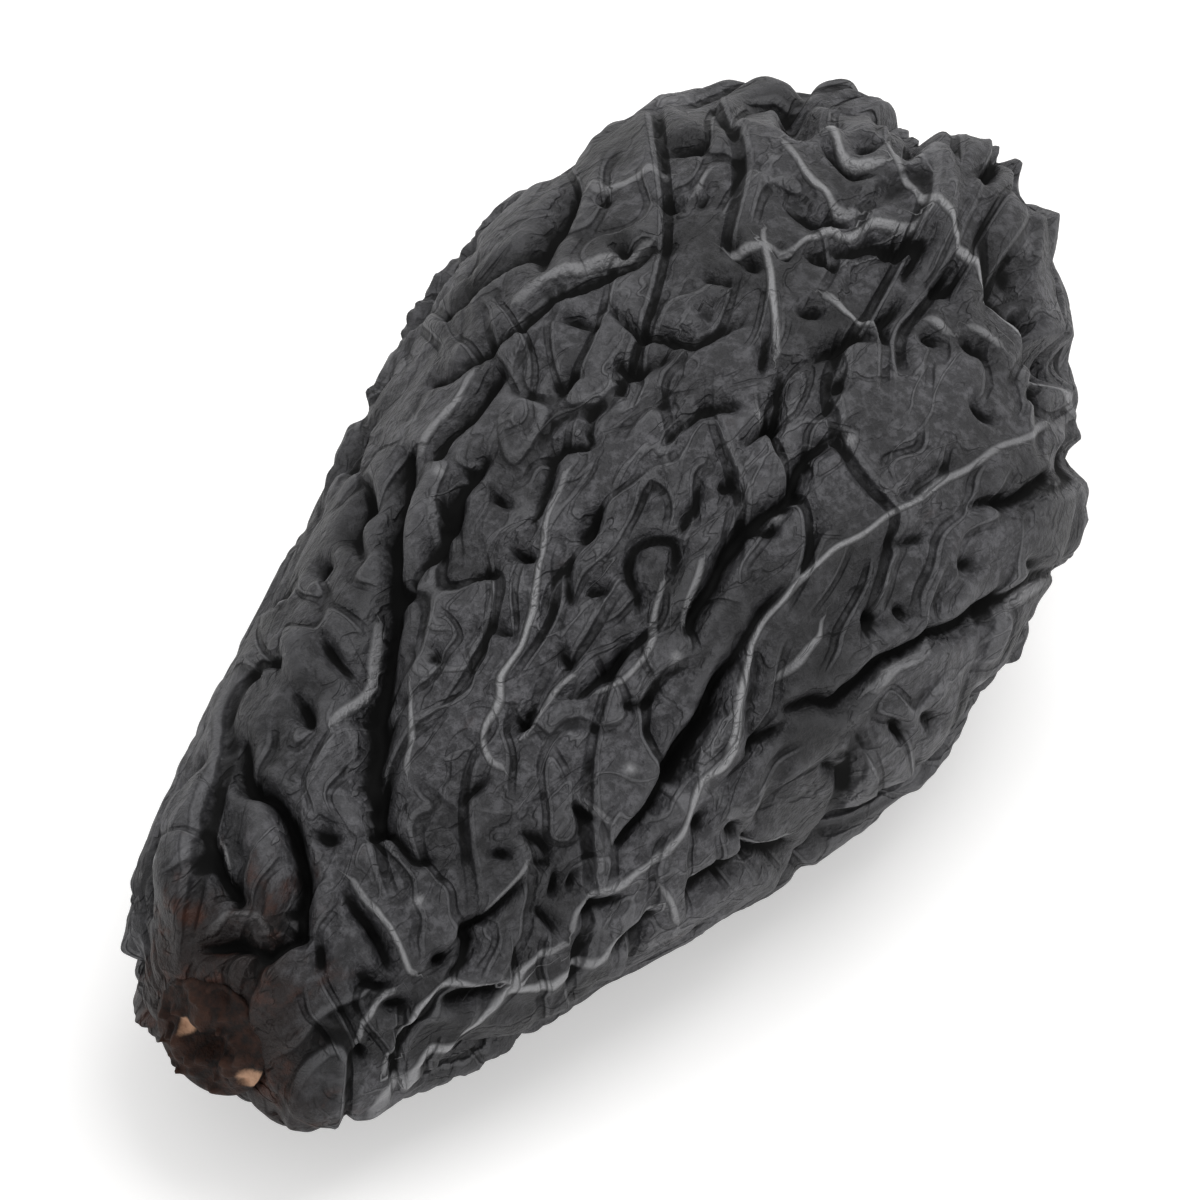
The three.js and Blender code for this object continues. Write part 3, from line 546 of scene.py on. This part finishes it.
stub = {
    "radius": 1.15, "depth": 0.9, "rise": 0.15, "tilt": 12, "segments": 128, "rings": 96,
    "tufts": [  # side, up, rise and width
        (0.1, 0.55, 0.26, 0.3), (-0.65, -0.3, 0.3, 0.3), (0.45, -0.4, 0.14, 0.36), (-0.1, -0.1, -0.3, 0.3),
    ],
    "fibres": 90, "seed": 61,  # thin broken ends over the crown
    "fresh": [(0.4, 0.12, 0.24), (-1.0, -0.35, 0.3)],  # where the break is new and tan
}


def makeStub(shift):
    bpy.ops.object.select_all(action="DESELECT")
    bpy.ops.mesh.primitive_uv_sphere_add(segments=stub["segments"], ring_count=stub["rings"], radius=1)
    plug = bpy.context.object
    plug.name = "stalk_stub"
    mesh = plug.data
    ball = np.empty(len(mesh.vertices) * 3)
    mesh.vertices.foreach_get("co", ball)
    ball = ball.reshape(-1, 3)
    out = np.sqrt(np.clip(1 - ball[:, 2] ** 2, 0, 1))
    turn = np.arctan2(ball[:, 1], ball[:, 0])
    reach = stub["radius"] * out ** 0.7
    side, up = reach * np.cos(turn), reach * np.sin(turn)
    height = np.where(ball[:, 2] > 0, stub["rise"] * ball[:, 2], stub["depth"] * ball[:, 2])
    torn = sum(rise * bell(np.hypot(side - a, up - b), width) for a, b, rise, width in stub["tufts"])
    draw = seededDraw(stub["seed"])
    for _ in range(stub["fibres"]):
        away, around = stub["radius"] * math.sqrt(next(draw)), 2 * math.pi * next(draw)
        width, rise = mixed(0.05, 0.13, next(draw)), mixed(-0.16, 0.22, next(draw))
        torn += rise * bell(np.hypot(side - away * math.cos(around), up - away * math.sin(around)), width)
    height += np.where(ball[:, 2] > 0, torn * (1 - out ** 12), 0)
    fresh = sum(bell(np.hypot(side - a, up - b), width) for a, b, width in stub["fresh"])
    tilt = math.radians(stub["tilt"])
    axes = np.array([[0, 1, 0], [math.sin(tilt), 0, math.cos(tilt)], [-math.cos(tilt), 0, math.sin(tilt)]])
    stem = plumpForm(np.array([0.0]), np.array([0.0]))[0] + shift
    mesh.vertices.foreach_set("co", ((np.stack([side, up, height], axis=1) @ axes + stem) * mm).ravel())
    mesh.update()
    addMask(mesh, "fresh", np.where(ball[:, 2] > 0, fresh, 0))
    addMask(mesh, "torn", torn)
    bpy.ops.object.shade_smooth()
    return plug


print("stage 3: finishes")


class Wire:  # a socket that takes part in sums
    def __init__(self, socket):
        self.socket = socket

    def sum(self, operation, other, swapped=False):
        tree = self.socket.id_data
        node = tree.nodes.new("ShaderNodeMath")
        node.operation = operation
        for slot, value in zip(node.inputs, (other, self) if swapped else (self, other)):
            if isinstance(value, Wire):
                tree.links.new(value.socket, slot)
            else:
                slot.default_value = value
        return Wire(node.outputs[0])

    def __add__(self, other):
        return self.sum("ADD", other)

    def __radd__(self, other):
        return self.sum("ADD", other, True)

    def __sub__(self, other):
        return self.sum("SUBTRACT", other)

    def __rsub__(self, other):
        return self.sum("SUBTRACT", other, True)

    def __mul__(self, other):
        return self.sum("MULTIPLY", other)

    def __rmul__(self, other):
        return self.sum("MULTIPLY", other, True)

    def __pow__(self, other):
        return self.sum("POWER", other)


class Finish:  # a material that grows one node at a time
    def __init__(self, name):
        self.material = bpy.data.materials.new(name)
        self.material.use_nodes = True
        self.tree = self.material.node_tree
        self.tree.nodes.clear()

    def node(self, kind, settings=None, inputs=None, output=0):
        node = self.tree.nodes.new("ShaderNode" + kind)
        for key, value in (settings or {}).items():
            setattr(node, key, value)
        for key, value in (inputs or {}).items():
            if isinstance(value, Wire):
                self.tree.links.new(value.socket, node.inputs[key])
            else:
                node.inputs[key].default_value = value
        return Wire(node.outputs[output]) if node.outputs else None

    def ramp(self, value, low, high):
        return self.node("MapRange", {"interpolation_type": "SMOOTHSTEP"},
                         {"Value": value, "From Min": low, "From Max": high})

    def colour(self, share, first, second):
        return self.node("Mix", {"data_type": "RGBA"}, {0: share, 6: first, 7: second}, 2)


def grey(value, red=1.0, blue=1.0):
    return (value * red, value, value * blue, 1)


def skinFinish():
    f = Finish("dried skin")
    place = f.node("TexCoord", output="Object")
    crest, crack, speck, hump, hollow, scar = (
        f.node("Attribute", {"attribute_name": name}, output="Fac")
        for name in ("crest", "crack", "speck", "hump", "hollow", "scar"))

    def line(share, gap, width, aside=0):  # a thin line beside the skin's own, both in mm
        off = f.node("Attribute", {"attribute_name": gap}, output="Fac") + aside
        return f.node("Attribute", {"attribute_name": share}, output="Fac") * (
            1 - f.ramp(off * off, 0, width * width))

    # ridge follows the ridge crests, which are lightened as a painted highlight; slit follows the furrows,
    # which are darkened as painted shade
    ridge, slit = line("crest", "ridgeGap", 0.08), line("crack", "slitGap", 0.1)
    # edge follows the crack lines of the fold layers, which are darkened as painted shade
    edge = (line("plate0", "plateGap0", 0.16) + line("plate1", "plateGap1", 0.11)
            + line("plate2", "plateGap2", 0.08) * 0.7)
    # rim is a thin line beside the plate cracks, lightened below as a painted highlight
    rim = line("plate1", "plateGap1", 0.08, 0.15) + line("plate2", "plateGap2", 0.06, 0.11) * 0.7
    drawn = f.node("Mapping", inputs={"Vector": place, "Scale": (0.5, 1, 1), "Rotation": (0, 0, 0.1)})
    grain = f.node("TexNoise", inputs={"Vector": place, "Scale": 4600, "Detail": 4, "Roughness": 0.7})
    wrinkle = f.node("TexNoise", inputs={"Vector": drawn, "Scale": 1900, "Detail": 4, "Roughness": 0.62})
    patches = f.node("TexNoise", inputs={"Vector": place, "Scale": 380, "Detail": 3, "Roughness": 0.55})
    pinched = f.node("TexNoise", inputs={"Vector": drawn, "Scale": 640, "Detail": 3, "Distortion": 0.5}) - 0.5
    folded = f.node("TexNoise", inputs={"Vector": drawn, "Scale": 1000, "Detail": 3, "Distortion": 0.6}) - 0.5
    # pale and groove are thin noise lines: the finish lightens pale as a painted highlight and darkens groove
    # as painted shade; both also go into the bump
    pale = (1 - f.ramp(pinched * pinched, 0, 0.0004)) * f.ramp(patches, 0.4, 0.6)
    groove = (1 - f.ramp(folded * folded, 0, 0.0012)) * f.ramp(wrinkle, 0.35, 0.6)
    dust = f.ramp(grain, 0.42, 0.66) * f.ramp(patches, 0.25, 0.65)
    tone = f.colour(f.ramp(patches, 0.3, 0.7), grey(0.011, 1.01, 1.1), grey(0.04, 1.01, 1.1))
    tone = f.colour(dust * 0.75, tone, grey(0.12, 1.01, 1.08))
    # painted highlight: the skin that stands out above its surroundings is lightened
    tone = f.colour(hump * 0.35, tone, grey(0.11, blue=1.06))
    # painted highlight: the pale noise lines and the rims beside the plate cracks are lightened
    tone = f.colour(pale * 0.4 + rim * 0.4, tone, grey(0.16, blue=1.05))
    # painted highlight on the ridge crests, mixed with the real pale specks of bloom
    tone = f.colour(ridge * 0.9 + speck * 0.8, tone, grey(0.3, blue=1.03))
    rust = f.ramp(scar + wrinkle * 1.2 + patches * 0.8, 1.2, 1.9)
    stain = f.colour(f.ramp(wrinkle, 0.5, 0.68), (0.01, 0.0045, 0.0035, 1), (0.045, 0.014, 0.007, 1))
    tone = f.colour(rust * 0.9, tone, stain)
    rough = 0.48 + grain * 0.2 - ridge * 0.08
    relief = grain * 0.7 + wrinkle + pale * 0.5 + ridge * 0.9 + rim * 0.5 - groove * 0.6 - slit - edge
    bump = f.node("Bump", inputs={"Strength": 0.9, "Distance": 0.00016, "Height": relief})
    satin = f.node("BsdfPrincipled", inputs={"Base Color": tone, "Roughness": rough, "Normal": bump,
                                             "Specular IOR Level": 0.32})
    # painted shade: a near-black matte shader laid over the cracks, furrows, pits, plate cracks, noise
    # grooves and sunken skin, where shade falls in the creases; the ridge crests hold it back
    paintedShade = f.node("BsdfPrincipled", inputs={"Base Color": grey(0.007), "Roughness": 0.8,
                                              "Specular IOR Level": 0.05})
    paintedShadeShare = f.ramp(crack * 0.7 + hollow * 0.5 + slit * 0.6 + edge * 0.65 + groove * 0.3 - ridge, 0.2, 1.15)
    shader = f.node("MixShader", inputs={0: paintedShadeShare, 1: satin, 2: paintedShade})
    f.node("OutputMaterial", inputs={"Surface": shader})
    return f.material


def stubFinish():
    f = Finish("torn stalk")
    place = f.node("TexCoord", output="Object")
    fresh = f.node("Attribute", {"attribute_name": "fresh"}, output="Fac")
    torn = f.node("Attribute", {"attribute_name": "torn"}, output="Fac")
    fibre = f.node("TexNoise", inputs={"Vector": place, "Scale": 5200, "Detail": 4, "Roughness": 0.65})
    tone = f.colour(f.ramp(fibre, 0.35, 0.65), (0.006, 0.0035, 0.003, 1), (0.026, 0.01, 0.006, 1))
    tone = f.colour(f.ramp(torn, 0.05, 0.35) * 0.5, tone, (0.06, 0.024, 0.013, 1))
    tone = f.colour(f.ramp(fresh + fibre * 0.5, 0.7, 1.1), tone, (0.42, 0.25, 0.16, 1))
    bump = f.node("Bump", inputs={"Strength": 0.8, "Distance": 0.0001, "Height": fibre})
    shader = f.node("BsdfPrincipled", inputs={"Base Color": tone, "Roughness": 0.75, "Normal": bump,
                                              "Specular IOR Level": 0.25})
    f.node("OutputMaterial", inputs={"Surface": shader})
    return f.material


def floorFinish():
    f = Finish("pale floor")
    shader = f.node("BsdfPrincipled", inputs={
        "Base Color": (0.82, 0.815, 0.81, 1), "Roughness": 0.6,
        "Emission Color": (1, 0.995, 0.99, 1), "Emission Strength": 0.42})
    f.node("OutputMaterial", inputs={"Surface": shader})
    return f.material


skin, skinShift = makeRaisin()
skin.data.materials.append(skinFinish())
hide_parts("raisin")
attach(skin, "root")

plug = makeStub(skinShift)
plug.data.materials.append(stubFinish())
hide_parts("stem_stub")
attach(plug, "root")

print("stage 4: floor, light and camera")
view = {  # degrees and metres
    "azimuth": -54, "elevation": 45, "distance": 0.8, "frameWidth": 0.021,
    "aimRight": 0.0005, "aimUp": 0.0026,
}
turn, tilt = math.radians(view["azimuth"]), math.radians(view["elevation"])
rightward = Vector((math.cos(turn), math.sin(turn), 0))
awayward = Vector((-math.sin(turn), math.cos(turn), 0))
upward = Vector((0, 0, 1))
backward = -awayward * math.cos(tilt) + upward * math.sin(tilt)
screenUp = awayward * math.sin(tilt) + upward * math.cos(tilt)


def makeCamera():
    aim = Vector(skinShift * mm) + rightward * view["aimRight"] + screenUp * view["aimUp"]
    lens = bpy.data.cameras.new("camera")
    lens.sensor_width = 36
    lens.lens = lens.sensor_width * view["distance"] / view["frameWidth"]
    camera = bpy.data.objects.new("camera", lens)
    bpy.context.scene.collection.objects.link(camera)
    camera.location = aim + backward * view["distance"]
    camera.rotation_euler = backward.to_track_quat("Z", "Y").to_euler()
    bpy.context.scene.camera = camera


def makeLight(name, side, away, up, distance, size, power):
    lamp = bpy.data.lights.new(name, "AREA")
    lamp.size = size
    lamp.energy = power
    light = bpy.data.objects.new(name, lamp)
    bpy.context.scene.collection.objects.link(light)
    direction = (rightward * side + awayward * away + upward * up).normalized()
    light.location = direction * distance
    light.rotation_euler = direction.to_track_quat("Z", "Y").to_euler()


studio = {  # rightward, away and up, then distance and size in metres and power in watts
    "key": (0.35, 0.25, 1.0, 0.7, 0.5, 2.4),
    "fill": (-0.6, -0.5, 0.9, 0.8, 0.6, 0.15),
    "world": 0.65,
}


def makeStage():
    bpy.ops.object.select_all(action="DESELECT")
    bpy.ops.mesh.primitive_plane_add(size=4, location=(0, 0, 0))
    floor = bpy.context.object
    floor.name = "floor"
    floor.data.materials.append(floorFinish())
    makeLight("key", *studio["key"])
    makeLight("fill", *studio["fill"])
    world = bpy.data.worlds.new("studio")
    world.use_nodes = True
    world.node_tree.nodes["Background"].inputs["Color"].default_value = (1, 1, 1, 1)
    world.node_tree.nodes["Background"].inputs["Strength"].default_value = studio["world"]
    bpy.context.scene.world = world
    bpy.context.scene.view_settings.view_transform = "Standard"


makeCamera()
makeStage()
